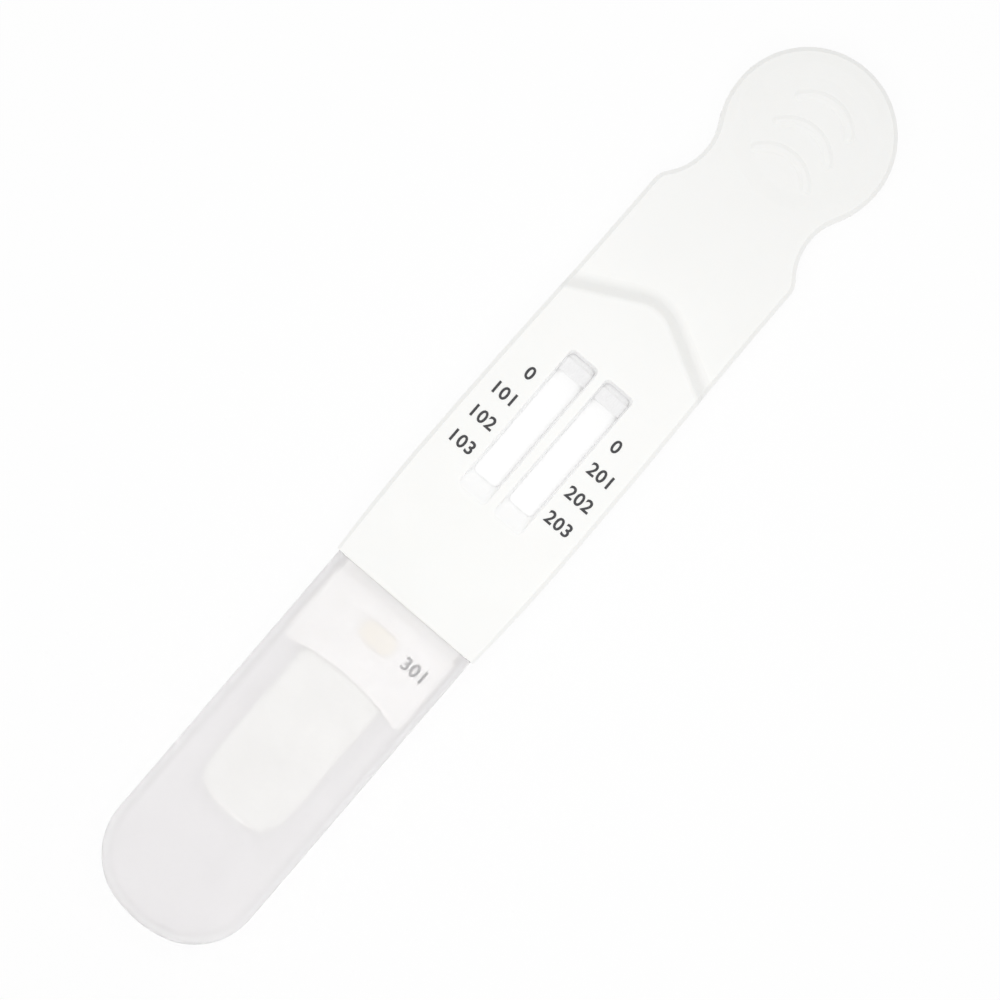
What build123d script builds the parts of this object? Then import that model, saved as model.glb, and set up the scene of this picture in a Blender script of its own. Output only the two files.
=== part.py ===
from build123d import *
import os
from math import cos, radians, sin, sqrt, tan

# Oral-fluid test cassette: a two-shell housing with a pair of test strips, a sponge
# collector on the neck and a frosted pull-off cap over both.
# Millimetres. Y runs along the length with the handle towards +Y and Z is up.
# The origin lies on the resting plane, under the middle of the overall length.

# Cap
cap_length = 57.5
cap_width = 24.0
cap_thickness = 7.6
cap_wall = 1.1
cap_end_flat = 3.6           # between the centres of the two end corners
cap_end_radius = 18.0        # bow of the closed end
cap_edge_radius = 2.0        # long outer edges
cap_lift = 0.3               # underside of the cap above the table
cap_clearance = 0.15         # cap to neck, each side
cap_stop_gap = 0.1           # mouth of the cap to the shoulder
cap_lead_in = 0.3            # chamfer inside the mouth

# Neck
neck_length = 14.4
neck_hollow = 1.8            # depth of the concave front edge
neck_corner_radius = 1.2
neck_edge_radius = 0.9       # long edges
neck_wall = 0.8
neck_front_wall = 1.4
neck_groove_width = 1.6
neck_groove_depth = 0.35

# Housing
shoulder_proud = 0.4         # shoulder past the cap, each side
body_bulge = 0.6             # widest place past the mean of shoulder and handle, each side
widest_from_shoulder = 18.0
handle_length = 44.0         # point of the chevron to the end of the grip
handle_width = 25.0
panel_proud = 0.4            # reading panel above the top of the cap
housing_wall = 1.3
floor_thickness = 1.2
roof_thickness = 1.2
top_edge_chamfer = 0.6
bottom_edge_chamfer = 0.8
seam_chamfer = 0.15          # outer edges of the parting plane

# Sloped end of the reading panel beside the cap
crown_from_shoulder = 20.9
crown_radius = 15.7
crown_slope = 3.0
crown_break_radius = 12.0

# Chevron step between the reading panel and the handle
chevron_from_window = 12.7
chevron_angle = 28.0
chevron_nose_radius = 5.6
step_height = 2.6
step_slope = 56.0
step_foot_radius = 1.6
step_brow_radius = 0.8

# Handle and thumb grip
grip_radius = 12.5
waist_width = 19.4
waist_radius = 9.0
handle_corner_radius = 3.0
grip_rim = 2.1
dish_depth = 0.15
dish_slope_run = 2.2         # level run of the sloped wall of the dish
ridge_count = 3
ridge_pitch = 4.68
ridge_shift = 1.1            # crest of the middle ridge past the centre of the grip
ridge_arc_radius = 5.6
ridge_half_angle = 54.0
ridge_width = 1.6
ridge_height = 0.2
ridge_slope_run = 0.5        # level run of the sloped sides of a ridge

# Reading windows
window_from_shoulder = 20.5
window_length = 21.3
window_width = 4.3
window_side_bevel = 0.35
window_near_ramp = 2.9
window_far_bevel = 0.5
window_corner_radius = 0.8
window_frame_margin = 0.8

# Test strips
strip_width = 5.0
strip_divider = 1.2
strip_rail = 1.0
strip_play = 0.08
strip_end_play = 0.3
card_thickness = 0.3
membrane_thickness = 0.15
membrane_lead = 5.0          # membrane hidden in front of the window
absorbent_thickness = 0.6
absorbent_show = 2.8         # absorbent pad seen inside the window
pad_overlap = 2.0
conjugate_thickness = 0.4
sample_thickness = 0.8
sample_on_card = 4.0
press_gap = 0.05
press_bar = 1.2
rib_count = 6
rib_thickness = 1.0

# Collector sponge
sponge_width = 14.1
sponge_reach = 23.8          # past the tip of the neck
sponge_tail = 8.2            # past the shoulder, inside the body
sponge_tip_radius = 5.0
sponge_edge_chamfer = 0.4
sponge_play = 0.05
sponge_guide = 1.0
sponge_rib_count = 2

# Alcohol pad under its oval window in the neck
alcohol_from_shoulder = 5.9
alcohol_window_width = 6.6
alcohol_window_height = 3.8
alcohol_window_bevel = 0.4
alcohol_pad_margin = 0.5     # pad past the lower edge of the window
alcohol_pad_thickness = 0.3
alcohol_carrier_thickness = 0.15
alcohol_play = 0.05

# Locating pins of the top cover and their sockets in the bottom cover
pin_diameter = 2.0
pin_clearance = 0.05
pin_depth = 2.0
socket_wall = 0.9
body_pin_inset = 3.75        # from the widest place
body_pin_near = 3.0          # past the end of the sponge
body_pin_far = 2.4           # past the reading windows
handle_pin_side = 5.5
handle_pin_back = 5.0        # from the centre of the grip towards the body

# Widths
shoulder_width = cap_width + 2 * shoulder_proud
body_width = (shoulder_width + handle_width) / 2 + 2 * body_bulge
neck_width = cap_width - 2 * (cap_wall + cap_clearance)
sponge_slot_width = sponge_width + 2 * sponge_play
inner_edge_chamfer = (2 - sqrt(2)) * neck_edge_radius
strip_pitch = strip_width + 2 * strip_play + strip_divider
rail_inner = strip_pitch / 2 + strip_width / 2 + strip_play
rail_outer = rail_inner + strip_rail
alcohol_pad_width = alcohol_window_width - 2 * alcohol_window_bevel + 2 * alcohol_pad_margin
alcohol_pad_height = alcohol_window_height - 2 * alcohol_window_bevel + 2 * alcohol_pad_margin
dish_radius = grip_radius - grip_rim

# Places along the length
housing_length = window_from_shoulder + window_length + chevron_from_window + handle_length
overall_length = cap_length + housing_length
cap_end_y = -overall_length / 2
shoulder_y = cap_end_y + cap_length
inner_shoulder_y = shoulder_y + housing_wall
neck_tip_y = shoulder_y - neck_length
neck_front_y = neck_tip_y + neck_hollow
neck_inner_y = neck_front_y + neck_front_wall
alcohol_y = shoulder_y - alcohol_from_shoulder
sponge_tip_y = neck_tip_y - sponge_reach
sponge_tail_y = shoulder_y + sponge_tail
crown_y = shoulder_y + crown_from_shoulder
window_near_y = shoulder_y + window_from_shoulder
window_far_y = window_near_y + window_length
chevron_y = window_far_y + chevron_from_window
handle_end_y = chevron_y + handle_length
grip_y = handle_end_y - grip_radius

# Heights
cap_top = cap_lift + cap_thickness
neck_bottom = cap_lift + cap_wall + cap_clearance
neck_top = cap_top - cap_wall - cap_clearance
neck_floor = neck_bottom + neck_wall
neck_roof = neck_top - neck_wall
parting = (neck_bottom + neck_top) / 2
panel_top = cap_top + panel_proud
panel_roof = panel_top - roof_thickness
handle_top = panel_top - step_height
dish_floor = handle_top - dish_depth
sponge_bottom = neck_floor + sponge_play
sponge_top = neck_roof - sponge_play
card_top = sponge_top
card_bottom = card_top - card_thickness
membrane_top = card_top + membrane_thickness
rail_top = membrane_top + press_gap
conjugate_top = membrane_top + conjugate_thickness
sample_top = card_top + sample_thickness
absorbent_top = membrane_top + absorbent_thickness
window_bottom = membrane_top + 2 * press_gap
pad_frame_bottom = absorbent_top + 2 * press_gap
carrier_top = sponge_top + alcohol_carrier_thickness
alcohol_top = carrier_top + alcohol_pad_thickness
pocket_top = alcohol_top + alcohol_play

# Strip layers along the length
step_inner_y = chevron_y - rail_outer * tan(radians(chevron_angle))
step_inner_y -= roof_thickness / sin(radians(step_slope)) / cos(radians(chevron_angle))
stop_far_y = step_inner_y - strip_end_play
stop_near_y = stop_far_y - strip_rail
card_start = sponge_tail_y + strip_end_play
card_end = stop_near_y - strip_play
absorbent_start = window_far_y - absorbent_show
membrane_end = absorbent_start + pad_overlap
membrane_start = window_near_y - membrane_lead
conjugate_end = membrane_start + pad_overlap
sample_start = inner_shoulder_y + strip_end_play
sample_end = card_start + sample_on_card
conjugate_start = sample_end - pad_overlap

# Pins
body_pin_side = body_width / 2 - body_pin_inset
pin_rows = [
    (body_pin_side, sponge_tail_y + body_pin_near),
    (body_pin_side, window_far_y + body_pin_far),
    (handle_pin_side, grip_y - handle_pin_back),
]
pin_places = [(side * x, y) for x, y in pin_rows for side in (-1, 1)]

past = 1.0                   # how far a cutting solid runs past the face it cuts


def block(x_span, y_span, z_span):
    """Box between pairs of coordinates."""
    size = [high - low for low, high in (x_span, y_span, z_span)]
    middle = [(high + low) / 2 for low, high in (x_span, y_span, z_span)]
    return Pos(*middle) * Box(*size)


def raised(face, low, high):
    """Plan face turned into a solid between two heights."""
    return extrude(Pos(0, 0, low) * face, amount=high - low)


def short_arc(centre, start, end):
    """Arc of less than half a turn about a centre."""
    middle = Vector(*centre)
    first = Vector(*start) - middle
    last = Vector(*end) - middle
    through = middle + (first + last).normalized() * first.length
    return ThreePointArc(start, through, end)


def mirrored_face(right_edges, closing_edges):
    """Face from the edges of its right half, their mirror images and what closes them."""
    left_edges = [mirror(edge, about=Plane.YZ) for edge in right_edges]
    return make_face(right_edges + left_edges + closing_edges)


def cap_plan(inset, mouth_y):
    """Plan of the cap: parallel sides, round corners and a bowed closed end."""
    half = cap_width / 2 - inset
    corner = (cap_width - cap_end_flat) / 2 - inset
    bow = cap_end_radius - inset
    bow_y = cap_end_y + cap_end_radius
    corner_x = cap_end_flat / 2
    corner_y = bow_y - sqrt((bow - corner) ** 2 - corner_x**2)
    meet = Vector(0, bow_y) + Vector(corner_x, corner_y - bow_y).normalized() * bow
    meet_left = (-meet.X, meet.Y)
    side = Line((half, mouth_y), (half, corner_y))
    round_corner = short_arc((corner_x, corner_y), (half, corner_y), meet)
    end = ThreePointArc(meet, (0, bow_y - bow), meet_left)
    mouth = Line((-half, mouth_y), (half, mouth_y))
    return mirrored_face([side, round_corner], [end, mouth])


def cap_rims(inset, mouth_y):
    """Level edges, apart from the mouth, of the plain cap form at a depth under its skin."""
    solid = raised(cap_plan(inset, mouth_y), cap_lift + inset, cap_top - inset)
    level = [e for e in solid.edges() if e.bounding_box().size.Z < 1e-6]
    return [e for e in level if e.center().Y < mouth_y - 1e-3]


def cap():
    """Frosted pull-off cap: one moulded wall, open towards the shoulder."""
    mouth_y = shoulder_y - cap_stop_gap
    outside = fillet(cap_rims(0.0, mouth_y), cap_edge_radius)
    inside = chamfer(cap_rims(cap_wall, mouth_y + past), inner_edge_chamfer)
    shell = outside - inside
    mouth = shell.faces().sort_by(Axis.Y)[-1]
    return chamfer(mouth.inner_wires()[0].edges(), cap_lead_in)


def housing_plan():
    """Outline shared by both shells, from the shoulder to the round end of the grip."""
    half = handle_width / 2
    widest = (body_width / 2, shoulder_y + widest_from_shoulder)
    waist_x = waist_width / 2 + waist_radius
    waist_y = grip_y - sqrt((grip_radius + waist_radius) ** 2 - waist_x**2)
    corner_x = half - handle_corner_radius
    reach = waist_radius + handle_corner_radius
    corner_y = waist_y - sqrt(reach**2 - (waist_x - corner_x) ** 2)
    to_waist = (Vector(waist_x, waist_y) - Vector(corner_x, corner_y)).normalized()
    corner_end = Vector(corner_x, corner_y) + to_waist * handle_corner_radius
    grip_start = Vector(0, grip_y) + Vector(waist_x, waist_y - grip_y).normalized() * grip_radius
    root = (half, corner_y)
    middle = ((widest[0] + half) / 2, (widest[1] + corner_y) / 2)
    flank = [
        TangentArc(widest, (shoulder_width / 2, shoulder_y), tangent=(0, -1)),
        TangentArc(widest, middle, tangent=(0, 1)),
        TangentArc(root, middle, tangent=(0, -1)),
        short_arc((corner_x, corner_y), root, corner_end),
        short_arc((waist_x, waist_y), corner_end, grip_start),
    ]
    grip = ThreePointArc(grip_start, (0, handle_end_y), (-grip_start.X, grip_start.Y))
    shoulder = Line((-shoulder_width / 2, shoulder_y), (shoulder_width / 2, shoulder_y))
    return mirrored_face(flank, [grip, shoulder])


def chevron_plan(outward):
    """Area on the handle side of the chevron, its line moved outwards towards the handle."""
    angle = radians(chevron_angle)
    nose = chevron_nose_radius + outward
    nose_y = chevron_y - chevron_nose_radius / cos(angle)
    touch = (nose * sin(angle), nose_y + nose * cos(angle))
    reach = body_width
    end = (reach, touch[1] - (reach - touch[0]) * tan(angle))
    far = (reach, handle_end_y + body_width)
    arm = Line(touch, end)
    side = Line(end, far)
    tip = ThreePointArc(touch, (0, nose_y + nose), (-touch[0], touch[1]))
    back = Line(far, (-far[0], far[1]))
    return mirrored_face([arm, side], [tip, back])


def above_handle(depth):
    """Space above the handle, bounded by the sloped chevron wall, at a depth under the skin."""
    slope = radians(step_slope)
    levels = (handle_top - depth, panel_top + past)
    shifts = [(panel_top - level) / tan(slope) - depth / sin(slope) for level in levels]
    return loft([Pos(0, 0, z) * chevron_plan(s) for z, s in zip(levels, shifts)], ruled=True)


def under_crown():
    """Everything below the reading panel: flat, then a gentle cone down towards the cap."""
    slope = radians(crown_slope)
    bend = crown_break_radius * tan(slope / 2)
    bend_start = (crown_radius - bend, panel_top)
    bend_end = (crown_radius + bend * cos(slope), panel_top - bend * sin(slope))
    outer = crown_from_shoulder + body_width
    rim = (outer, bend_end[1] - (outer - bend_end[0]) * tan(slope))
    edges = [
        Polyline((outer, parting), (0, parting), (0, panel_top), bend_start),
        TangentArc(bend_start, bend_end, tangent=(1, 0)),
        Polyline(bend_end, rim, (outer, parting)),
    ]
    side_plane = Plane(origin=(0, crown_y, 0), x_dir=(-1, 0, 0), z_dir=(0, 1, 0))
    cone = revolve(side_plane * make_face(edges), Axis((0, crown_y, 0), (0, 0, 1)), 180)
    return cone + block((-outer, outer), (crown_y, handle_end_y + past), (parting, panel_top))


def outer_rim(solid):
    """Edges where the side walls of the top shell meet its upper surfaces."""
    rim = []
    for face in solid.faces():
        upright = abs(face.normal_at().Z) < 0.01
        on_shoulder = face.center().Y < shoulder_y + 0.01
        if upright and not on_shoulder:
            level = [e for e in face.edges() if e.center().Z > parting + past]
            rim += [e for e in level if abs(e.tangent_at(0.5).Z) < 0.95]
    return rim


def edges_at(solid, height):
    """Level edges at one height, apart from those on the shoulder."""
    level = [e for e in solid.edges() if abs(e.center().Z - height) < 1e-4]
    return [e for e in level if e.bounding_box().size.Z < 1e-4 and e.center().Y > shoulder_y + 1e-3]


def step_edges(solid, height):
    """Edges of the chevron step at one height, away from the sides and the grip."""
    inner_x = handle_width / 2 - top_edge_chamfer
    low_y = chevron_y - body_width / 2
    near = [e for e in edges_at(solid, height) if abs(e.center().X) < inner_x]
    return [e for e in near if low_y < e.center().Y < chevron_y + step_height]


def top_skin():
    """Outer form of the top shell: panel, chevron step, sloped crown and bevelled rim."""
    solid = raised(housing_plan(), parting, panel_top + past) & under_crown()
    solid -= above_handle(0.0)
    solid = fillet(step_edges(solid, handle_top), step_foot_radius)
    solid = fillet(step_edges(solid, panel_top), step_brow_radius)
    solid = chamfer(outer_rim(solid), top_edge_chamfer)
    return chamfer(edges_at(solid, parting), seam_chamfer)


def bottom_skin():
    """Outer form of the bottom shell, flat underneath."""
    solid = raised(housing_plan(), 0.0, parting)
    solid = chamfer(edges_at(solid, 0.0), bottom_edge_chamfer)
    return chamfer(edges_at(solid, parting), seam_chamfer)


def neck_section(inset, near_y, far_y):
    """Neck as a rounded bar between two places along the length."""
    width = neck_width - 2 * inset
    height = neck_top - neck_bottom - 2 * inset
    section = Plane(origin=(0, far_y, parting), x_dir=(1, 0, 0), z_dir=(0, -1, 0))
    return extrude(section * RectangleRounded(width, height, neck_edge_radius), amount=far_y - near_y)


def neck_plan():
    """Plan of the neck in front of its groove, with a concave front edge."""
    half = neck_width / 2
    back_y = shoulder_y - neck_groove_width
    sides = Polyline((half, neck_tip_y), (half, back_y), (-half, back_y), (-half, neck_tip_y))
    front = ThreePointArc((-half, neck_tip_y), (0, neck_front_y), (half, neck_tip_y))
    face = make_face([sides, front])
    return fillet(face.vertices().sort_by(Axis.Y)[:2], neck_corner_radius)


def neck():
    """Both halves of the neck as one solid: the plug for the cap and its relief groove."""
    plug = neck_section(0.0, neck_tip_y - past, shoulder_y) & raised(neck_plan(), neck_bottom, neck_top)
    return plug + neck_section(neck_groove_depth, shoulder_y - 2 * neck_groove_width, inner_shoulder_y)


def neck_space():
    """Hollow of the neck and the slot in its front wall for the sponge."""
    half = neck_width / 2 - neck_wall
    slot = sponge_slot_width / 2
    height = (neck_floor, neck_roof)
    hollow = block((-half, half), (neck_inner_y, inner_shoulder_y + past), height)
    return hollow + block((-slot, slot), (neck_tip_y - past, neck_inner_y + past), height)


def shell_space(low, high):
    """Hollow inside the side walls between two heights."""
    return raised(offset(housing_plan(), amount=-housing_wall), low, high)


def window_ends(height):
    """Near and far end of a reading window at one height."""
    grow = (height - window_bottom) / (panel_top - window_bottom)
    return window_near_y - window_near_ramp * grow, window_far_y + window_far_bevel * grow


def window_opening(x, height):
    """Section of a reading window at one height, on its bevels and its long near ramp."""
    near, far = window_ends(height)
    grow = (height - window_bottom) / (panel_top - window_bottom)
    width = window_width + 2 * window_side_bevel * grow
    face = RectangleRounded(width, far - near, window_corner_radius)
    return Pos(x, (near + far) / 2, height) * face


def reading_window(x):
    """Tapered cut for one reading window."""
    lip = past / 4
    levels = (window_bottom - lip, panel_top + lip)
    return loft([window_opening(x, z) for z in levels], ruled=True)


def window_frame():
    """Thickened roof round both windows, close above the membranes and stepped up over the wicking pads."""
    half = strip_pitch / 2 + window_width / 2 + window_frame_margin
    near, far = window_ends(panel_roof)
    step_y = absorbent_start - press_bar / 2
    into_roof = panel_roof + roof_thickness / 2
    low = block((-half, half), (near - window_frame_margin, step_y), (window_bottom, into_roof))
    return low + block((-half, half), (step_y, far + window_frame_margin), (pad_frame_bottom, into_roof))


def thumb_dish():
    """Shallow round recess of the thumb grip, with a flat floor and a sloped wall."""
    floor_radius = dish_radius - dish_slope_run
    height = dish_depth + past
    outer_radius = floor_radius + dish_slope_run * height / dish_depth
    return Pos(0, grip_y, dish_floor + height / 2) * Cone(floor_radius, outer_radius, height)


def grip_ridge(crest_y):
    """Low arc ridge with sloped sides and round ends that bulges towards the end of the handle."""
    side = ridge_width / 2
    foot = dish_floor - dish_depth / 2
    crest = dish_floor + ridge_height
    half = [(0, foot), (side, foot), (side, dish_floor), (side - ridge_slope_run, crest), (0, crest)]
    whole = half[1:-1] + [(-x, z) for x, z in half[-2:0:-1]]
    centre = Vector(0, crest_y - ridge_arc_radius)
    arms = [Vector(1, 0).rotate(Axis.Z, 90 + turn) for turn in (-ridge_half_angle, ridge_half_angle)]
    ends = [centre + arm * ridge_arc_radius for arm in arms]
    planes = [Plane(origin=end, x_dir=arm, z_dir=(arm.Y, -arm.X, 0)) for end, arm in zip(ends, arms)]
    bar = planes[0] * make_face(Polyline(*whole, close=True))
    ridge = revolve(bar, Axis(centre, (0, 0, 1)), 2 * ridge_half_angle)
    for end, plane in zip(ends, planes):
        knob = plane * make_face(Polyline(*half, close=True))
        ridge += revolve(knob, Axis(end, (0, 0, 1)), 360)
    return ridge


def grip_ridges():
    """Row of arc ridges across the thumb dish."""
    middle = (ridge_count - 1) / 2
    crests = [grip_y + ridge_shift + (index - middle) * ridge_pitch for index in range(ridge_count)]
    return [grip_ridge(crest_y) for crest_y in crests]


def alcohol_opening(height):
    """Section of the oval alcohol window at one height."""
    bevel = alcohol_window_bevel * (neck_top - height) / (neck_top - pocket_top)
    face = SlotOverall(alcohol_window_width - 2 * bevel, alcohol_window_height - 2 * bevel)
    return Pos(0, alcohol_y, height) * face


def alcohol_cut():
    """Oval window and the pocket under it for the alcohol pad."""
    lip = past / 4
    oval = loft([alcohol_opening(z) for z in (pocket_top - lip, neck_top + lip)], ruled=True)
    half_x = alcohol_pad_width / 2 + alcohol_play
    half_y = alcohol_pad_height / 2 + alcohol_play
    return oval + block((-half_x, half_x), (alcohol_y - half_y, alcohol_y + half_y), (sponge_top, pocket_top))


def press_bars():
    """Bars under the roof that hold the sample pads on the sponge and the laps together."""
    sample_middle = (sample_start + sponge_tail_y) / 2
    lap_middle = (membrane_start + conjugate_end) / 2
    bars = []
    for y, top in ((sample_middle, sample_top), (lap_middle, conjugate_top)):
        along = (y - press_bar / 2, y + press_bar / 2)
        height = (top + press_gap, panel_roof + roof_thickness / 2)
        bars.append(block((-rail_inner, rail_inner), along, height))
    return bars


def pins():
    """Round pins from the roof of the top shell into the sockets."""
    low = parting - pin_depth
    made = []
    for x, y in pin_places:
        roof = panel_roof if y < chevron_y else handle_top - roof_thickness
        height = roof + roof_thickness / 4 - low
        made.append(Pos(x, y, low + height / 2) * Cylinder(pin_diameter / 2, height))
    return made


def top_cover():
    """Top shell with the reading windows, the upper half of the neck and the thumb grip."""
    reach = overall_length
    upper = block((-reach, reach), (-reach, reach), (parting, panel_top + past))
    cover = top_skin() + (neck() & upper)
    cover -= shell_space(parting - past, panel_roof) - above_handle(roof_thickness)
    cover -= neck_space()
    cover += window_frame()
    for bar in press_bars():
        cover += bar
    for side in (-1, 1):
        cover -= reading_window(side * strip_pitch / 2)
    cover -= alcohol_cut()
    cover -= thumb_dish()
    for ridge in grip_ridges():
        cover += ridge
    for pin in pins():
        cover += pin
    return cover


def strip_bed():
    """Rails, divider, cross ribs and end stop that hold the two strips at their height."""
    floor = floor_thickness / 2
    along = (card_start, stop_far_y)
    walls = [(-strip_divider / 2, strip_divider / 2), (-rail_outer, -rail_inner), (rail_inner, rail_outer)]
    bed = [block(wall, along, (floor, rail_top)) for wall in walls]
    bed.append(block((-rail_outer, rail_outer), (stop_near_y, stop_far_y), (floor, rail_top)))
    pitch = (card_end - card_start - rib_thickness) / (rib_count - 1)
    for index in range(rib_count):
        start = card_start + index * pitch
        bed.append(block((-rail_inner, rail_inner), (start, start + rib_thickness), (floor, card_bottom)))
    return bed


def sponge_seat():
    """Side guides and cross ribs that carry the inner end of the sponge."""
    inner = sponge_slot_width / 2
    outer = inner + sponge_guide
    floor = floor_thickness / 2
    neck_level = neck_bottom + neck_wall / 2
    seat = []
    for across in ((-outer, -inner), (inner, outer)):
        seat.append(block(across, (neck_inner_y - past, inner_shoulder_y), (neck_level, parting)))
        seat.append(block(across, (inner_shoulder_y - past, sponge_tail_y), (floor, parting)))
    pitch = (sponge_tail_y - inner_shoulder_y) / (sponge_rib_count + 1)
    for index in range(sponge_rib_count):
        start = inner_shoulder_y + (index + 1) * pitch
        seat.append(block((-inner, inner), (start, start + rib_thickness), (floor, neck_floor)))
    return seat


def sockets(radius, low, high):
    """Round columns at the pin places."""
    return [Pos(x, y, (low + high) / 2) * Cylinder(radius, high - low) for x, y in pin_places]


def bottom_cover():
    """Bottom shell with the strip bed, the sponge seat and the lower half of the neck."""
    reach = overall_length
    lower = block((-reach, reach), (-reach, reach), (-past, parting))
    inside = shell_space(floor_thickness / 2, parting)
    bore = pin_diameter / 2 + pin_clearance
    cover = bottom_skin() + (neck() & lower)
    cover -= shell_space(floor_thickness, parting + past)
    cover -= neck_space()
    for piece in strip_bed() + sponge_seat():
        cover += piece
    for column in sockets(bore + socket_wall, floor_thickness / 2, parting):
        cover += column & inside
    for hole in sockets(bore, parting - pin_depth - pin_clearance, rail_top + past):
        cover -= hole
    return cover


def collector_sponge():
    """Flat foam collector with a round-cornered tip, gripped between the shells."""
    half = sponge_width / 2
    plan = Pos(0, (sponge_tip_y + sponge_tail_y) / 2) * Rectangle(2 * half, sponge_tail_y - sponge_tip_y)
    plan = fillet(plan.vertices().sort_by(Axis.Y)[:2], sponge_tip_radius)
    solid = raised(plan, sponge_bottom, sponge_top)
    level = [e for e in solid.edges() if e.bounding_box().size.Z < 1e-4]
    rims = [e for e in level if e.center().Y < sponge_tail_y - 1e-3]
    return chamfer(rims, sponge_edge_chamfer)


def strip_layer(x, start, end, low, high):
    """Flat layer of one strip."""
    return block((x - strip_width / 2, x + strip_width / 2), (start, end), (low, high))


def lapped_pad(x, free_end, lap, lap_end, rise, thickness):
    """Pad that lies on the card and steps up by rise onto its neighbour from lap to lap_end."""
    ramp = 2 * rise * (1 if lap > free_end else -1)
    top = card_top + thickness
    corners = [
        (free_end, card_top),
        (lap, card_top),
        (lap, card_top + rise),
        (lap_end, card_top + rise),
        (lap_end, top + rise),
        (lap, top + rise),
        (lap - ramp, top),
        (free_end, top),
    ]
    side = Plane(origin=(x - strip_width / 2, 0, 0), x_dir=(0, 1, 0), z_dir=(1, 0, 0))
    return extrude(side * make_face(Polyline(*corners, close=True)), amount=strip_width)


def test_strip(x):
    """Layers of one test strip by name."""
    return {
        "backing_card": strip_layer(x, card_start, card_end, card_bottom, card_top),
        "membrane": strip_layer(x, membrane_start, membrane_end, card_top, membrane_top),
        "sample_pad": lapped_pad(
            x, sample_start, conjugate_start, sample_end, conjugate_thickness, sample_thickness
        ),
        "conjugate_pad": lapped_pad(
            x, conjugate_start, membrane_start, conjugate_end, membrane_thickness, conjugate_thickness
        ),
        "absorbent_pad": lapped_pad(
            x, card_end, membrane_end, absorbent_start, membrane_thickness, absorbent_thickness
        ),
    }


def alcohol_layer(low, high):
    """Flat layer under the oval window."""
    half_x = alcohol_pad_width / 2
    half_y = alcohol_pad_height / 2
    return block((-half_x, half_x), (alcohol_y - half_y, alcohol_y + half_y), (low, high))


def all_pieces():
    """Every piece of the cassette by its node name."""
    pieces = {
        "cap": cap(),
        "top_cover": top_cover(),
        "bottom_cover": bottom_cover(),
        "collector_sponge": collector_sponge(),
        "alcohol_pad_carrier": alcohol_layer(sponge_top, carrier_top),
        "alcohol_pad": alcohol_layer(carrier_top, alcohol_top),
    }
    for name, side in (("left", -1), ("right", 1)):
        for layer, solid in test_strip(side * strip_pitch / 2).items():
            pieces[f"{name}_{layer}"] = solid
    return pieces


os.makedirs("parts", exist_ok=True)
for node, shape in all_pieces().items():
    export_step(shape, f"parts/{node}.step")
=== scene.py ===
# %% [markdown]
# # A saliva test cassette, dressed in Blender
#
# The solids of the cassette come from the CAD model: two white housing shells, a frosted cap,
# a pair of test strips and a foam collector. This lesson gives every one of them its finish,
# replaces the plain foam block with real foam, prints plain numbers beside the reading windows
# and sets a camera straight above the result, on a white table under a sky and a lamp.

import math

import bmesh
import bpy
import numpy as np
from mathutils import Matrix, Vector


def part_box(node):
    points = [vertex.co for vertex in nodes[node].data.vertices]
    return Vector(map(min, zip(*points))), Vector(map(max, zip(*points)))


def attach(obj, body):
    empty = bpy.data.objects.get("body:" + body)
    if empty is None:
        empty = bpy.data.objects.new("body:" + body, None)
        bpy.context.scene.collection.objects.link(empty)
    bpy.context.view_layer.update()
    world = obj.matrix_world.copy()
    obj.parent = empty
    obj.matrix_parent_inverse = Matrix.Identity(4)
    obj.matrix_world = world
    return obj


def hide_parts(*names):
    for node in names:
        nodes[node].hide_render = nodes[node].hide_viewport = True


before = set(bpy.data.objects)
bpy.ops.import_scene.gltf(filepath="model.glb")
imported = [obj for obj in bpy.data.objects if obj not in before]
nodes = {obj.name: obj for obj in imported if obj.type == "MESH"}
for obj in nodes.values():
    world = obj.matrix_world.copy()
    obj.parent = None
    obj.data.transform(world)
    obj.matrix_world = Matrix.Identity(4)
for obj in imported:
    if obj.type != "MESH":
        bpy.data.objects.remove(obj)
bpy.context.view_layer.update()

# %% [markdown]
# ## Sizes that are shared
#
# Everything in Blender is in metres, so one millimetre gets a name of its own. The boxes of the
# CAD pieces tell where the foam and the reading panel are, so neither is fitted by eye.

# %% Millimetres and the boxes of the pieces
MM = 0.001


def box_mm(node):
    """Lowest and highest corner of a CAD piece in millimetres, as two arrays."""
    low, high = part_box(node)
    return np.array(low) / MM, np.array(high) / MM


panel_top = float(box_mm("top_cover")[1][2])
sponge_low, sponge_high = box_mm("collector_sponge")
print("panel top", round(panel_top, 2), "foam", sponge_low.round(2), sponge_high.round(2))

# %% [markdown]
# ## The camera
#
# The picture was taken from straight above, with the cassette lying across the frame. A long
# lens far away keeps the upright walls from leaning outwards. The scale of the picture, in
# pixels to the millimetre, gives the width of the field, and the turn of the camera about the
# vertical gives the slant.

# %% Camera straight above the table
image_side = 1000
pixels_per_mm = 7.2
field = image_side / pixels_per_mm * MM
camera_turn = math.radians(40.64)
camera_aim = np.array([0.40, -0.77, 6.5]) * MM
lens_mm = 200.0
sensor_mm = 36.0
camera_height = field * lens_mm / sensor_mm

camera_data = bpy.data.cameras.new("camera")
camera_data.lens = lens_mm
camera_data.sensor_width = sensor_mm
camera = bpy.data.objects.new("camera", camera_data)
camera.location = camera_aim + np.array([0.0, 0.0, camera_height])
camera.rotation_euler = (0.0, 0.0, camera_turn)
bpy.context.scene.collection.objects.link(camera)
bpy.context.scene.camera = camera
print("camera", round(camera_height, 3), "m above its aim, field", round(field / MM, 1), "mm")

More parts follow.
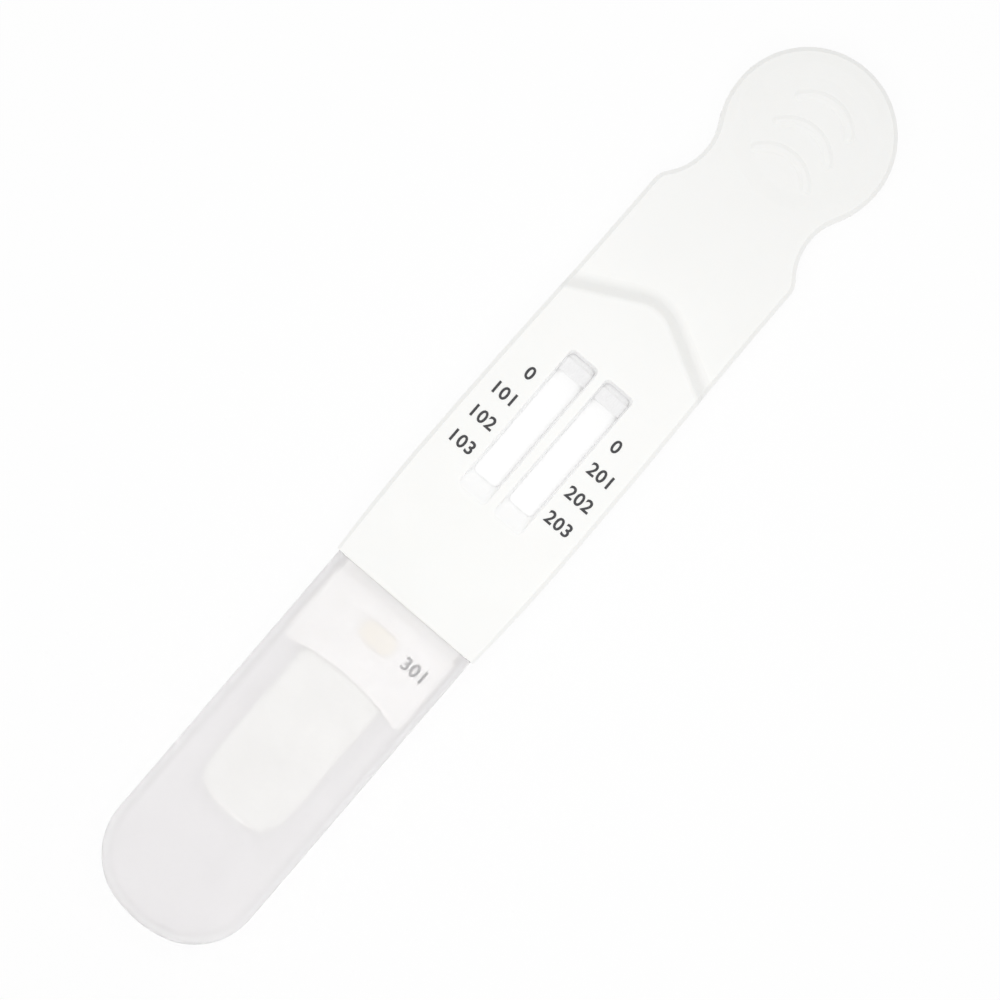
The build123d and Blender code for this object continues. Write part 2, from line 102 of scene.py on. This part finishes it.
# %% [markdown]
# ## Sky
#
# The object is white on white, so the light has to be soft, and still come from somewhere, or
# the steps and bevels would vanish. Most of it is a pale sky from all sides, a little brighter
# behind the grip than behind the cap. An even sky would be simpler, but slopes that face the
# grip and slopes that face the cap would look alike in it. What the camera sees of the sky, also
# in a mirror image or through the cap, is plain white.

# %% Helpers for fields in a node tree
def combine(tree, operation, first, second):
    """Math node that joins a field with another one or with a plain number."""
    node = tree.nodes.new("ShaderNodeMath")
    node.operation = operation
    tree.links.new(first, node.inputs[0])
    if isinstance(second, float):
        node.inputs[1].default_value = second
    else:
        tree.links.new(second, node.inputs[1])
    return node.outputs[0]


def between(tree, field, low, high, start=0.3, end=0.7):
    """Value that goes from low to high as the field goes from start to end."""
    ramp = tree.nodes.new("ShaderNodeMapRange")
    ramp.inputs["From Min"].default_value = start
    ramp.inputs["From Max"].default_value = end
    ramp.inputs["To Min"].default_value = low
    ramp.inputs["To Max"].default_value = high
    tree.links.new(field, ramp.inputs["Value"])
    return ramp.outputs["Result"]


def seen_directly(tree):
    """One where a ray comes from the camera, a mirror image or a see-through piece, else zero."""
    path = tree.nodes.new("ShaderNodeLightPath")
    seen = path.outputs["Is Camera Ray"]
    for ray in ("Is Glossy Ray", "Is Transmission Ray"):
        seen = combine(tree, "MAXIMUM", seen, path.outputs[ray])
    return seen


# %% Pale sky, brighter behind the grip
sky_level = 0.72
sky_lean = 0.12


def sky_strength(tree):
    """Strength that grows evenly from the cap's side to the grip's, and one where it is seen."""
    direction = tree.nodes.new("ShaderNodeTexCoord")
    split = tree.nodes.new("ShaderNodeSeparateXYZ")
    tree.links.new(direction.outputs["Generated"], split.inputs["Vector"])
    weakest, strongest = sky_level * (1 - sky_lean), sky_level * (1 + sky_lean)
    leaning = between(tree, split.outputs["Y"], weakest, strongest, start=-1.0, end=1.0)
    strength = tree.nodes.new("ShaderNodeMapRange")
    tree.links.new(seen_directly(tree), strength.inputs["Value"])
    tree.links.new(leaning, strength.inputs["To Min"])
    strength.inputs["To Max"].default_value = 1.0
    return strength.outputs["Result"]


world = bpy.data.worlds.new("studio_sky")
bpy.context.scene.world = world
world.use_nodes = True
sky_tree = world.node_tree
sky_tree.nodes.clear()
sky = sky_tree.nodes.new("ShaderNodeBackground")
sky.inputs["Color"].default_value = (1.0, 1.0, 1.0, 1.0)
sky_tree.links.new(sky_strength(sky_tree), sky.inputs["Strength"])
sky_out = sky_tree.nodes.new("ShaderNodeOutputWorld")
sky_tree.links.new(sky.outputs["Background"], sky_out.inputs["Surface"])
print("sky", sky_level, "give or take", round(sky_level * sky_lean, 3))

# %% [markdown]
# ## Lamp
#
# One broad lamp over the reading windows gives the remaining light. It hangs low, so the grip
# and the cap at the two ends get less of it, as in the photograph. Its power follows the square
# of its distance, so a lamp that is moved still lights the windows as before. Sky and lamp
# together light a level surface so that a colour renders about as it is written.

# %% Broad lamp over the windows
lamp_level = 0.325
lamp_place = np.array([0.01, -0.004, 0.165])
lamp_side = 0.14

lamp_data = bpy.data.lights.new("broad_lamp", "AREA")
lamp_data.shape = "SQUARE"
lamp_data.size = lamp_side
lamp_data.energy = lamp_level * math.pi**2 * float(lamp_place @ lamp_place)
lamp = bpy.data.objects.new("broad_lamp", lamp_data)
lamp.location = lamp_place
towards_lamp = lamp_place / np.linalg.norm(lamp_place)
lamp_tilt = math.acos(towards_lamp[2])
lamp_heading = math.atan2(towards_lamp[1], towards_lamp[0])
lamp.rotation_euler = (0.0, lamp_tilt, lamp_heading)
bpy.context.scene.collection.objects.link(lamp)
bpy.context.scene.view_settings.view_transform = "Standard"
print("lamp", round(lamp_data.energy, 2), "W")

# %% [markdown]
# ## Table
#
# The table is white paper. Most of what the camera sees of it is plain white, and the remainder
# is its lit surface, which keeps a faint shadow under the cassette. It lies a hair below the
# flat back of the housing, because two faces in one plane would flicker.

# %% White table
table_half = 1.5
table_drop = 0.03 * MM
table_white = 0.97
table_plain_share = 0.92


def mix_shaders(tree, mask, first, second):
    """The first shader where the mask is zero, the second where it is one, and both between."""
    mix = tree.nodes.new("ShaderNodeMixShader")
    tree.links.new(mask, mix.inputs[0])
    tree.links.new(first, mix.inputs[1])
    tree.links.new(second, mix.inputs[2])
    return mix.outputs["Shader"]


def table_finish():
    """White paper: plain white for its share of what the camera sees, and lit paper otherwise."""
    material = bpy.data.materials.new("white_table")
    material.use_nodes = True
    tree = material.node_tree
    tree.nodes.clear()
    lit = tree.nodes.new("ShaderNodeBsdfDiffuse")
    lit.inputs["Color"].default_value = (table_white, table_white, table_white, 1.0)
    plain_white = tree.nodes.new("ShaderNodeEmission")
    plain_white.inputs["Strength"].default_value = 1.0
    share = combine(tree, "MULTIPLY", seen_directly(tree), table_plain_share)
    both = mix_shaders(tree, share, lit.outputs["BSDF"], plain_white.outputs["Emission"])
    output = tree.nodes.new("ShaderNodeOutputMaterial")
    tree.links.new(both, output.inputs["Surface"])
    return material


corners = np.array([(-1, -1, 0), (1, -1, 0), (1, 1, 0), (-1, 1, 0)]) * table_half
corners[:, 2] = -table_drop
table_mesh = bpy.data.meshes.new("table")
table_mesh.from_pydata(corners.tolist(), [], [(0, 1, 2, 3)])
table = bpy.data.objects.new("table", table_mesh)
bpy.context.scene.collection.objects.link(table)
table.data.materials.append(table_finish())
print("table", table_half * 2, "m wide")

# %% [markdown]
# ## A small kit for finishes
#
# Every finish on this object starts from the same shader and differs in its colour, its gloss
# and its grain. A few helpers write the parts that repeat: a noise field in object coordinates,
# which stays put when a piece moves, a colour that follows such a field, and a bump that takes
# its height from one.

# %% Helpers for the finishes
def new_finish(name):
    """A material with the standard surface shader; gives the material, its tree and the shader."""
    material = bpy.data.materials.new(name)
    material.use_nodes = True
    tree = material.node_tree
    shader = next(n for n in tree.nodes if n.type == "BSDF_PRINCIPLED")
    return material, tree, shader


def grain(tree, size_mm, detail=2.0, stretch=(1.0, 1.0, 1.0)):
    """Noise in object coordinates whose blotches are about size_mm wide, drawn out by stretch."""
    place = tree.nodes.new("ShaderNodeTexCoord")
    mapping = tree.nodes.new("ShaderNodeMapping")
    mapping.inputs["Scale"].default_value = [1.0 / (size_mm * MM * s) for s in stretch]
    noise = tree.nodes.new("ShaderNodeTexNoise")
    noise.inputs["Scale"].default_value = 1.0
    noise.inputs["Detail"].default_value = detail
    tree.links.new(place.outputs["Object"], mapping.inputs["Vector"])
    tree.links.new(mapping.outputs["Vector"], noise.inputs["Vector"])
    return noise.outputs["Fac"]


def tint(tree, field, dark, light, start=0.3, end=0.7):
    """Colour that goes from dark to light as the field goes from start to end."""
    ramp = tree.nodes.new("ShaderNodeValToRGB")
    first, last = ramp.color_ramp.elements
    first.position, last.position = start, end
    first.color = (*dark, 1.0)
    last.color = (*light, 1.0)
    tree.links.new(field, ramp.inputs["Fac"])
    return ramp.outputs["Color"]


def add_bump(tree, shader, field, height_mm, strength):
    """Tilt the shader's normal by a height field of the given height."""
    bump = tree.nodes.new("ShaderNodeBump")
    bump.inputs["Distance"].default_value = height_mm * MM
    bump.inputs["Strength"].default_value = strength
    tree.links.new(field, bump.inputs["Height"])
    tree.links.new(bump.outputs["Normal"], shader.inputs["Normal"])


def dress(material, *names):
    """Give CAD pieces this finish."""
    for name in names:
        for slot in nodes[name].material_slots:
            slot.material = material
    print(material.name, "on", ", ".join(names))


# %% [markdown]
# ## Housing
#
# Both shells are moulded in opaque white polystyrene with a satin, lightly spark-eroded
# surface. Light sinks a fraction of a millimetre into such plastic before it comes back. The
# colour drifts a little over the part, and the fine grain is far smaller than a pixel, so it is
# left to a shallow bump and to the gloss. The photograph shows the sloping sides of the reading
# windows as bright as the strips, so a box round the windows gets a whiter colour, which is
# painted light on their shaded slopes. It ends just under the face of the panel, which keeps its
# own colour.

# %% Painted light: a whiter colour inside a box round the windows
# painted light: the window wells get a whiter colour than the housing to lift the shade on their
# sloping sides
painted_light_well_low = (-5.9, -3.3, 5.9)
painted_light_well_high = (5.9, 22.0, panel_top - 0.02)
painted_light_white = (0.995, 0.995, 0.99)


def inside_box(tree, low_mm, high_mm):
    """One inside a box in object coordinates and zero outside it."""
    place = tree.nodes.new("ShaderNodeTexCoord")
    split = tree.nodes.new("ShaderNodeSeparateXYZ")
    tree.links.new(place.outputs["Object"], split.inputs["Vector"])
    within = []
    for axis, low, high in zip("XYZ", low_mm, high_mm):
        near = tree.nodes.new("ShaderNodeMath")
        near.operation = "COMPARE"
        near.inputs[1].default_value = (low + high) / 2 * MM
        near.inputs[2].default_value = (high - low) / 2 * MM
        tree.links.new(split.outputs[axis], near.inputs[0])
        within.append(near.outputs[0])
    in_plan = combine(tree, "MULTIPLY", within[0], within[1])
    return combine(tree, "MULTIPLY", in_plan, within[2])


def recolour(tree, mask, colour, other):
    """The colour where the mask is zero, and the other one where it is one."""
    mix = tree.nodes.new("ShaderNodeMixRGB")
    tree.links.new(mask, mix.inputs["Fac"])
    tree.links.new(colour, mix.inputs["Color1"])
    mix.inputs["Color2"].default_value = (*other, 1.0)
    return mix.outputs["Color"]


print("window wells from", painted_light_well_low, "to", painted_light_well_high)

# %% Satin white housing
housing_dull, housing_clean = (0.941, 0.941, 0.919), (0.959, 0.959, 0.939)
drift_mm = 14.0
eroded_mm = 0.16
eroded_deep = 0.006
eroded_strength = 0.3
satin_smooth, satin_rough = 0.42, 0.52
sink_share = 0.2
sink_depth = 0.5
sink_colours = (1.0, 0.95, 0.9)
polystyrene_ior = 1.5


def housing_finish():
    """White moulded plastic: faint drift of colour, fine eroded grain, light that sinks in, and
    painted light as a whiter colour in the window wells.
    """
    material, tree, shader = new_finish("housing_white_satin")
    white = tint(tree, grain(tree, drift_mm), housing_dull, housing_clean)
    # painted light: whiter colour inside the box round the windows
    wells = inside_box(tree, painted_light_well_low, painted_light_well_high)
    tree.links.new(recolour(tree, wells, white, painted_light_white), shader.inputs["Base Color"])
    eroded = grain(tree, eroded_mm, detail=3.0)
    satin = between(tree, eroded, satin_smooth, satin_rough)
    tree.links.new(satin, shader.inputs["Roughness"])
    add_bump(tree, shader, eroded, eroded_deep, eroded_strength)
    shader.inputs["Subsurface Weight"].default_value = sink_share
    shader.inputs["Subsurface Radius"].default_value = sink_colours
    shader.inputs["Subsurface Scale"].default_value = sink_depth * MM
    shader.inputs["IOR"].default_value = polystyrene_ior
    return material


dress(housing_finish(), "top_cover", "bottom_cover")

# %% [markdown]
# ## Frosted cap
#
# The cap is thin natural polypropylene, moulded in a blasted tool. What touches it from inside
# shows clearly, like the number on the neck, and what lies a millimetre or two below goes soft,
# like the edge of the foam. A rough see-through shader on the real wall thickness does this by
# itself. It bends light far less than solid plastic would, because the full bend draws dark
# lines along the walls. A share of milky body colour stands for the haze inside the plastic.
# Rays from the lamp and the sky pass the wall straight and weakened, so that the foam is lit.

# %% Frosted see-through cap
haze_share = 0.25
light_let_in = 0.52
milk_dull, milk_clean = (0.882, 0.874, 0.877), (0.899, 0.891, 0.894)
cloud_mm = 9.0
blasted_mm = 0.12
blasted_deep = 0.004
blasted_strength = 0.25
frost_smooth, frost_rough = 0.54, 0.66
thin_wall_ior = 1.05


def let_light_in(tree, shader):
    """Weakened straight passage for rays that carry light, and the shader itself for all others."""
    path = tree.nodes.new("ShaderNodeLightPath")
    clear = tree.nodes.new("ShaderNodeBsdfTransparent")
    clear.inputs["Color"].default_value = (light_let_in, light_let_in, light_let_in, 1.0)
    light_rays = path.outputs["Is Shadow Ray"]
    either = mix_shaders(tree, light_rays, shader.outputs["BSDF"], clear.outputs["BSDF"])
    output = next(n for n in tree.nodes if n.type == "OUTPUT_MATERIAL")
    tree.links.new(either, output.inputs["Surface"])


def cap_finish():
    """Hazy see-through plastic: rough refraction plus a milky share, with a blasted grain."""
    material, tree, shader = new_finish("cap_frosted_haze")
    milk = tint(tree, grain(tree, cloud_mm), milk_dull, milk_clean)
    tree.links.new(milk, shader.inputs["Base Color"])
    blasted = grain(tree, blasted_mm)
    frost = between(tree, blasted, frost_smooth, frost_rough)
    tree.links.new(frost, shader.inputs["Roughness"])
    add_bump(tree, shader, blasted, blasted_deep, blasted_strength)
    shader.inputs["Transmission Weight"].default_value = 1.0 - haze_share
    shader.inputs["IOR"].default_value = thin_wall_ior
    let_light_in(tree, shader)
    return material


dress(cap_finish(), "cap")

# %% [markdown]
# ## Strips and pads
#
# In the windows lie two bright membranes, each lapped by a greyer wicking pad at the end
# nearer the grip. The pad's darker tone is partly the off-white of its cotton fibres and partly
# painted shade from the end wall of the window. The membrane is a smooth cast sheet with a hint
# of tooth. The pads are felted fibres, so their noise is drawn out along one direction and their
# bump is deeper. One recipe with a few settings makes all of these papers, and the cards and the
# carrier film too.

# %% Recipe for papers and cards
paper_detail = 4.0
paper_strength = 0.6
paper_shine = 0.25
matt = 0.9


def paper_finish(name, dark, light, fibre_mm, stretch, height_mm, rough=matt):
    """Felted or cast paper: fibres as stretched noise in the colour and in the bump."""
    material, tree, shader = new_finish(name)
    fibres = grain(tree, fibre_mm, paper_detail, stretch)
    tree.links.new(tint(tree, fibres, dark, light), shader.inputs["Base Color"])
    add_bump(tree, shader, fibres, height_mm, paper_strength)
    shader.inputs["Roughness"].default_value = rough
    shader.inputs["Specular IOR Level"].default_value = paper_shine
    return material


def both_strips(layer):
    """Names of the left and the right piece of a strip layer."""
    return [f"{side}_{layer}" for side in ("left", "right")]


even = (1, 1, 1)
lengthwise = (1, 3, 1)
crosswise = (3, 1, 1)
print("fibres drawn out", max(lengthwise), "times")

# %% Membranes and pads
cast, snow = (0.97,) * 3, (0.995,) * 3
# the wicking pad's colours are partly its own off-white fibres and partly painted shade from the
# window's end wall
wick_grey_and_shade, wick_pale_grey_and_shade = (0.865, 0.862, 0.865), (0.915, 0.912, 0.915)
oat, pale_oat = (0.88, 0.88, 0.85), (0.95, 0.95, 0.93)
dried_rose, pale_rose = (0.62, 0.36, 0.42), (0.80, 0.58, 0.62)

membrane = paper_finish(
    "membrane_white_cast", cast, snow, fibre_mm=0.12, stretch=even, height_mm=0.006)
wick = paper_finish(
    "absorbent_pad_felt", wick_grey_and_shade, wick_pale_grey_and_shade, fibre_mm=0.18, stretch=lengthwise, height_mm=0.05)
sample = paper_finish(
    "sample_pad_glass_fibre", oat, pale_oat, fibre_mm=0.15, stretch=crosswise, height_mm=0.05)
rose = paper_finish(
    "conjugate_pad_rose", dried_rose, pale_rose, fibre_mm=0.2, stretch=crosswise, height_mm=0.04)
dress(membrane, *both_strips("membrane"))
dress(wick, *both_strips("absorbent_pad"))
dress(sample, *both_strips("sample_pad"))
dress(rose, *both_strips("conjugate_pad"))

# %% Cards and film
sheet_dull, sheet_clean = (0.90, 0.90, 0.895), (0.93, 0.93, 0.925)
sheet_mm = 0.6
sheet_deep = 0.004
sheet_gloss = 0.5

card = paper_finish(
    "backing_card_white", sheet_dull, sheet_clean, sheet_mm, even, sheet_deep, sheet_gloss)
film = paper_finish(
    "carrier_film_white", sheet_dull, sheet_clean, sheet_mm, even, sheet_deep, sheet_gloss)
dress(card, *both_strips("backing_card"))
dress(film, "alcohol_pad_carrier")

# %% [markdown]
# ## Alcohol pad
#
# The little reagent pad under the oval window is cream, and its reagent has dried unevenly,
# so a second, coarser noise stains it in patches.

# %% Cream reagent pad
cream_dark, cream_light = (0.94, 0.89, 0.77), (0.95, 0.925, 0.845)
patch_mm = 1.1
reagent_fibre_mm = 0.15
reagent_deep = 0.03


def alcohol_finish():
    """Cream reagent paper with slightly darker dried patches."""
    material, tree, shader = new_finish("alcohol_pad_cream")
    patches = grain(tree, patch_mm, detail=3.0)
    cream = tint(tree, patches, cream_dark, cream_light)
    tree.links.new(cream, shader.inputs["Base Color"])
    fibres = grain(tree, reagent_fibre_mm, paper_detail)
    add_bump(tree, shader, fibres, reagent_deep, paper_strength)
    shader.inputs["Roughness"].default_value = matt
    return material


dress(alcohol_finish(), "alcohol_pad")

# %% [markdown]
# ## Foam collector
#
# The collector is a bar of fine foam with a round-cornered tip. A box with a texture would
# give it away in the side views, so it is made as one closed surface: a rounded section
# carried along the length, which narrows over the round corners of the tip and shrinks to a
# point on both end faces. The pores are pits. A jittered lattice holds one pore centre per
# cell, and the depth of a point follows its distance to the nearest centre. Pits only go
# inwards, so the foam stays in the slot of the neck.

# %% Helpers for closed grids of points
def ring_faces(rings, round_count):
    """Quads between closed rings of points that lie one after another, as one array."""
    ring, place = np.meshgrid(np.arange(rings - 1), np.arange(round_count), indexing="ij")
    here = ring * round_count + place
    after = ring * round_count + (place + 1) % round_count
    quads = np.stack([here, after, after + round_count, here + round_count], axis=-1)
    return quads.reshape(-1, 4)


def mesh_piece(name, points_mm, faces, smooth=True):
    """Object at the origin from an array of points in millimetres and its faces."""
    mesh = bpy.data.meshes.new(name)
    mesh.from_pydata((points_mm * MM).tolist(), [], [list(face) for face in faces])
    mesh.polygons.foreach_set("use_smooth", np.full(len(mesh.polygons), smooth))
    mesh.update()
    piece = bpy.data.objects.new(name, mesh)
    bpy.context.scene.collection.objects.link(piece)
    print(name, len(mesh.vertices), "points", len(mesh.polygons), "faces")
    return piece


# %% Pores on a jittered lattice
pore_cell = 0.8
pore_reach = 0.75
pore_deep = 0.16
pore_power = 1.5
pore_seed = 4
jitter_side = 64


def pore_depth(points):
    """Nearness to the closest pore centre: one at a centre, zero from the reach outwards.

    Each lattice cell holds one centre at a random place. Only the cell of a point and the cells
    round it can hold a centre within reach. The random places repeat after jitter_side cells.
    """
    jitter = np.random.default_rng(pore_seed).random((jitter_side,) * 3 + (3,))
    home = np.floor(points / pore_cell).astype(int)
    nearest = np.full(len(points), np.inf)
    for step in np.ndindex(3, 3, 3):
        lattice = home + np.array(step) - 1
        i, j, k = (lattice % jitter_side).T
        centre = (lattice + jitter[i, j, k]) * pore_cell
        nearest = np.minimum(nearest, np.linalg.norm(points - centre, axis=1))
    return np.clip(1.0 - nearest / (pore_reach * pore_cell), 0.0, 1.0)


def pitted(rings):
    """The rings with pores pressed in along the inward normal of the grid.

    The normal is the cross product of the steps round a ring and from ring to ring.
    """
    round_step = np.roll(rings, -1, axis=1) - np.roll(rings, 1, axis=1)
    normal = np.cross(round_step, np.gradient(rings, axis=0))
    shortest = 1e-9
    normal /= np.maximum(np.linalg.norm(normal, axis=-1, keepdims=True), shortest)
    centre = (sponge_high + sponge_low) / 2
    inward = normal * np.sign(((centre - rings) * normal).sum(axis=-1, keepdims=True))
    pits = pore_depth(rings.reshape(-1, 3)).reshape(rings.shape[:2])
    return rings + inward * (pore_deep * pits**pore_power)[..., None]


print("pores about", pore_cell, "mm apart and up to", pore_deep, "mm deep")

# %% Rounded section of the foam
wide_steps, tall_steps = 60, 15


def round_corner(distance, radius):
    """How far a corner of this radius draws a side in, at a distance from the end face."""
    rest = radius - np.minimum(distance, radius)
    return radius - np.sqrt(radius**2 - rest**2)


def rounded_rings(half_width, half_height, corner):
    """Rings of points round rectangles whose corners are pulled onto arcs of the corner radius.

    The two arrays of half sizes have one value for each ring. Points are spread evenly along the
    four sides, then each is moved to the corner radius from the nearest point of the inner core.
    """
    wide = np.linspace(-1, 1, wide_steps, endpoint=False)
    tall = np.linspace(-1, 1, tall_steps, endpoint=False)
    across = np.concatenate([wide, np.ones(tall_steps), -wide, -np.ones(tall_steps)])
    up = np.concatenate([-np.ones(wide_steps), tall, np.ones(wide_steps), -tall])
    size = np.stack([half_width, half_height], axis=-1)[:, None, :]
    side = size * np.stack([across, up], axis=-1)
    core = np.clip(side, -(size - corner), size - corner)
    outward = side - core
    return core + corner * outward / np.linalg.norm(outward, axis=-1, keepdims=True)


print("section of", 2 * (wide_steps + tall_steps), "points")

# %% The foam bar
sponge_edge = 0.7
sponge_corner = 0.95
sponge_tip_radius = 5.0
foam_steps_tip, foam_steps_along, foam_steps_face = 26, 170, 9
back_stride = 4


def foam_points():
    """Rings of the foam from the tip to the back, as an array of rings by points by three.

    The half width loses the round corner of the tip, and both half sizes lose the rounded edges
    of the two ends. The first and last rings are repeated, smaller and smaller, to close the ends.
    """
    half = (sponge_high - sponge_low) / 2
    middle = (sponge_high + sponge_low) / 2
    length = 2 * half[1]
    turn = np.linspace(0, math.pi / 2, foam_steps_tip)
    tip = sponge_tip_radius * (1 - np.cos(turn))
    body = np.linspace(sponge_tip_radius, length - sponge_edge, foam_steps_along)[1:]
    back = length - sponge_edge * (1 - np.sin(turn[::back_stride]))
    along = np.concatenate([tip, body, back[1:]])
    edge = round_corner(along, sponge_edge) + round_corner(length - along, sponge_edge)
    half_width = half[0] - round_corner(along, sponge_tip_radius) - edge
    rings = rounded_rings(half_width, half[2] - edge, sponge_corner)
    shrink = np.linspace(1, 0, foam_steps_face, endpoint=False)[1:, None, None]
    rings = np.concatenate([(rings[:1] * shrink)[::-1], rings, rings[-1:] * shrink])
    face = np.ones(foam_steps_face - 1)
    along = np.concatenate([0 * face, along, length * face])
    depth = np.broadcast_to((sponge_low[1] + along)[:, None], rings.shape[:2])
    return np.stack([middle[0] + rings[..., 0], depth, middle[2] + rings[..., 1]], axis=-1)


def foam_bar():
    """The foam as one closed mesh: rings joined by quads, with a fan of triangles on each end."""
    rings = pitted(foam_points())
    count, round_count = rings.shape[:2]
    points = rings.reshape(-1, 3)
    ends = rings[[0, -1]].mean(axis=1)
    first_end, last_end = (np.full(round_count, len(points) + end) for end in range(2))
    place = np.arange(round_count)
    after = (place + 1) % round_count
    last_ring = (count - 1) * round_count
    first = np.stack([after, place, first_end], axis=-1)
    last = np.stack([place + last_ring, after + last_ring, last_end], axis=-1)
    faces = [*ring_faces(count, round_count).tolist(), *first.tolist(), *last.tolist()]
    return mesh_piece("foam_collector", np.concatenate([points, ends]), faces)


foam = foam_bar()

# %% [markdown]
# ## Foam finish
#
# Smaller pores than the pits are too many for the mesh. A cell texture, which grows with the
# distance to the nearest cell centre, shows them as a bump and as slightly darker dots, which are
# painted shade inside the pores.

# %% Fine-pored foam
foam_pore_painted_shade, foam_light = (0.868, 0.875, 0.836), (0.958, 0.968, 0.94)
fine_pore_mm = 0.35
fine_pore_start, fine_pore_end = 0.05, 0.5
fine_pore_deep = 0.08
fine_pore_strength = 0.5
foam_rough = 0.95
foam_shine = 0.15


def foam_finish():
    """Open-cell foam: painted shade inside fine pores as dark dots of a cell texture, very matt."""
    material, tree, shader = new_finish("collector_foam_white")
    place = tree.nodes.new("ShaderNodeTexCoord")
    cells = tree.nodes.new("ShaderNodeTexVoronoi")
    cells.inputs["Scale"].default_value = 1.0 / (fine_pore_mm * MM)
    tree.links.new(place.outputs["Object"], cells.inputs["Vector"])
    pores = cells.outputs["Distance"]
    # painted shade: the colour darkens towards each pore centre, where shade falls inside the pore
    dotted = tint(tree, pores, foam_pore_painted_shade, foam_light, fine_pore_start, fine_pore_end)
    tree.links.new(dotted, shader.inputs["Base Color"])
    add_bump(tree, shader, pores, fine_pore_deep, fine_pore_strength)
    shader.inputs["Roughness"].default_value = foam_rough
    shader.inputs["Specular IOR Level"].default_value = foam_shine
    return material


foam.data.materials.append(foam_finish())
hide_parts("collector_sponge")
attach(foam, "cassette")
print(foam.data.materials[0].name, "on", foam.name)

# %% [markdown]
# ## Printed numbers
#
# Beside each window four lines are marked from the bottom up, and the pad window on the neck
# has a mark of its own. They are pad printed in black ink, a few hundredths of a millimetre
# thick. A picture of the print would need an image file, so each number is set as text, turned
# into a thin closed prism and laid on its face. It is sunk in by less than its thickness, which
# keeps its lower side out of the plane of that face.

# %% Numbers as thin prisms of ink
ink_thick = 0.02
ink_sunk = 0.005
number_weight = 0.022
number_spacing = 1.1
number_smoothness = 4
weld_distance = 1e-5


def number_text(words):
    """Mesh of a number set as thick text, with its doubled points welded; it is thinned later."""
    curve = bpy.data.curves.new("number", "FONT")
    curve.body = words
    curve.extrude = 1.0
    curve.offset = number_weight
    curve.space_character = number_spacing
    curve.resolution_u = number_smoothness
    text = bpy.data.objects.new("number", curve)
    bpy.context.scene.collection.objects.link(text)
    graph = bpy.context.evaluated_depsgraph_get()
    mesh = bpy.data.meshes.new_from_object(text.evaluated_get(graph))
    bpy.data.objects.remove(text)
    welded = bmesh.new()
    welded.from_mesh(mesh)
    bmesh.ops.remove_doubles(welded, verts=welded.verts, dist=weld_distance)
    welded.to_mesh(mesh)
    welded.free()
    return mesh


def number_prism(words, height):
    """Points in millimetres and faces of a number of this height, centred, on the plane z = 0."""
    mesh = number_text(words)
    points = np.empty(len(mesh.vertices) * 3)
    mesh.vertices.foreach_get("co", points)
    points = points.reshape(-1, 3)
    low, high = points.min(axis=0), points.max(axis=0)
    scale = height / (high[1] - low[1])
    points = (points - (low + high) / 2) * scale
    points[:, 2] = np.where(points[:, 2] > 0, ink_thick, -ink_sunk)
    return points, [list(polygon.vertices) for polygon in mesh.polygons]


def printed_piece(name, marks, face_height):
    """One piece of ink from several numbers, each given as its words, centre and height."""
    points, faces, total = [], [], 0
    for words, across, along, height in marks:
        prism, prism_faces = number_prism(words, height)
        points.append(prism + np.array([across, along, face_height]))
        faces += [[total + corner for corner in face] for face in prism_faces]
        total += len(prism)
    return mesh_piece(name, np.concatenate(points), faces, smooth=False)


# %% Numbers beside the windows and on the neck
number_height = 2.0
first_row, row_step = 2.0, 4.43
column_centre = 8.72
last_row_centre = 7.85
neck_mark_place = (6.7, -26.5)
neck_top = 6.65


def column_marks(side, hundreds):
    """Marks of one window from the bottom row up: three lines counted down, then the control."""
    words = [f"{hundreds}0{line}" for line in (3, 2, 1)] + ["0"]
    places = [side * column_centre] * 3 + [side * last_row_centre]
    rows = first_row + row_step * np.arange(len(words))
    return [(word, place, row, number_height) for word, place, row in zip(words, places, rows)]


panel_marks = [*column_marks(-1, 1), *column_marks(1, 2)]
neck_marks = [("301", *neck_mark_place, number_height)]
panel_print = printed_piece("panel_numbers", panel_marks, panel_top)
neck_print = printed_piece("neck_number", neck_marks, neck_top)

# %% [markdown]
# ## Ink
#
# Pad printing lays down a film of ink that never covers quite evenly, so the black drifts by a
# shade. Black on white would look cut out if it were perfectly even.

# %% Black pad-printing ink
ink_deep, ink_thin = (0.018, 0.018, 0.02), (0.05, 0.05, 0.055)
cover_mm = 0.25
ink_rough = 0.6


def ink_finish():
    """Black pad-printing ink, slightly uneven in its cover."""
    material, tree, shader = new_finish("pad_printed_ink")
    cover = grain(tree, cover_mm, detail=3.0)
    tree.links.new(tint(tree, cover, ink_deep, ink_thin), shader.inputs["Base Color"])
    shader.inputs["Roughness"].default_value = ink_rough
    return material


ink = ink_finish()
for piece in (panel_print, neck_print):
    piece.data.materials.append(ink)
    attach(piece, "cassette")
print(ink.name, "on", panel_print.name, "and", neck_print.name)
